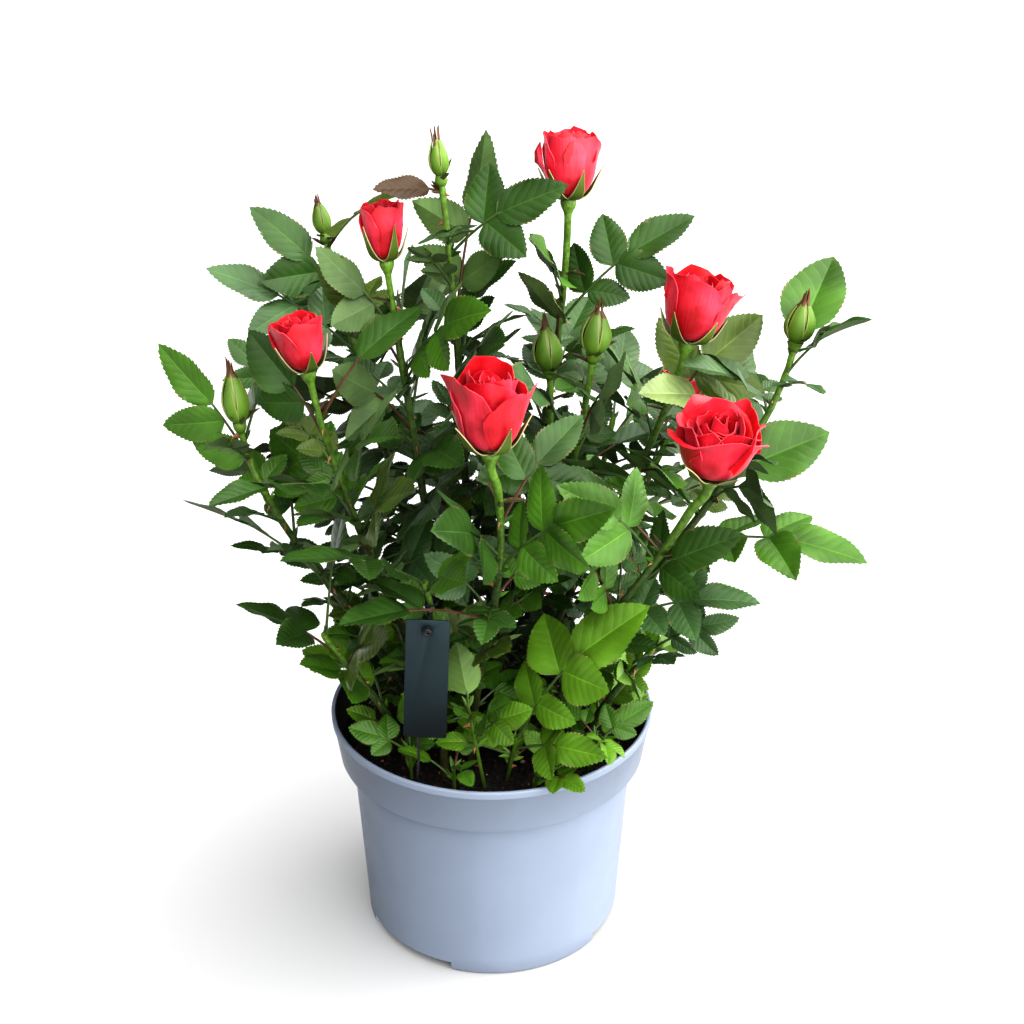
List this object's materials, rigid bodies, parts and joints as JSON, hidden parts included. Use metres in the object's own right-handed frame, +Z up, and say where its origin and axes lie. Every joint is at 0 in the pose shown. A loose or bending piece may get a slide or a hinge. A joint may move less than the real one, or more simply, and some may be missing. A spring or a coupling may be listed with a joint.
{
  "type": "potted rose bush",
  "caption": "Bushy miniature rose in a round nursery pot: thorny canes, compound leaves, red blooms and closed buds, with a bare hang tag on a cord.",
  "frame": {"origin": "centre of the pot's underside, in the plane that it stands on", "axes": "+Z up along the pot's axis, +X to the right of the hang tag's face, -Y towards the side with the hang tag"},
  "size_m": [0.2673, 0.2383, 0.3255],
  "materials": {
    "pot": "pale lilac-grey moulded plastic, satin",
    "peat": "dark moist peat with pale crumbs",
    "cane": "green to tan rose bark with thorns, satin",
    "foliage": "dark green leaves with a low gloss",
    "young_foliage": "bright green young leaves with a low gloss",
    "bloom": "scarlet petals on a green stalk, soft sheen",
    "card": "slate blue-grey card, matt, bare",
    "cord": "dark twisted cord"
  },
  "bodies": {
    "root": {"cane_back": "cane", "cane_back_left": "cane", "cane_back_right": "cane", "cane_centre": "cane", "cane_centre_right": "cane", "cane_far_left": "cane", "cane_front": "cane", "cane_front_left": "cane", "cane_front_right": "cane", "cane_high": "cane", "cane_left": "cane", "cane_low_back_left": "cane", "cane_low_back_right": "cane", "cane_low_left": "cane", "cane_low_right": "cane", "cane_mid_right": "cane", "cane_peak": "cane", "cane_right": "cane", "cane_upper_left": "cane", "foliage_back": "foliage", "foliage_back_left": "foliage", "foliage_back_right": "foliage", "foliage_back_shoot": "young_foliage", "foliage_centre": "foliage", "foliage_centre_right": "foliage", "foliage_edge_shoot": "young_foliage", "foliage_far_left": "foliage", "foliage_front": "foliage", "foliage_front_left": "foliage", "foliage_front_right": "foliage", "foliage_front_shoot": "young_foliage", "foliage_high": "foliage", "foliage_left": "foliage", "foliage_left_shoot": "young_foliage", "foliage_low_back_left": "foliage", "foliage_low_back_right": "foliage", "foliage_low_left": "foliage", "foliage_low_right": "foliage", "foliage_mid_right": "foliage", "foliage_middle_shoot": "young_foliage", "foliage_peak": "foliage", "foliage_right": "foliage", "foliage_right_shoot": "young_foliage", "foliage_rim_shoot": "young_foliage", "foliage_upper_left": "foliage", "hang_tag": "card", "pot": "pot", "rose_back": "bloom", "rose_back_right": "bloom", "rose_front": "bloom", "rose_front_right": "bloom", "rose_high": "bloom", "rose_left": "bloom", "rose_mid_right": "bloom", "rose_upper_left": "bloom", "soil": "peat", "tag_cord": "cord"}
  },
  "joints": []
}
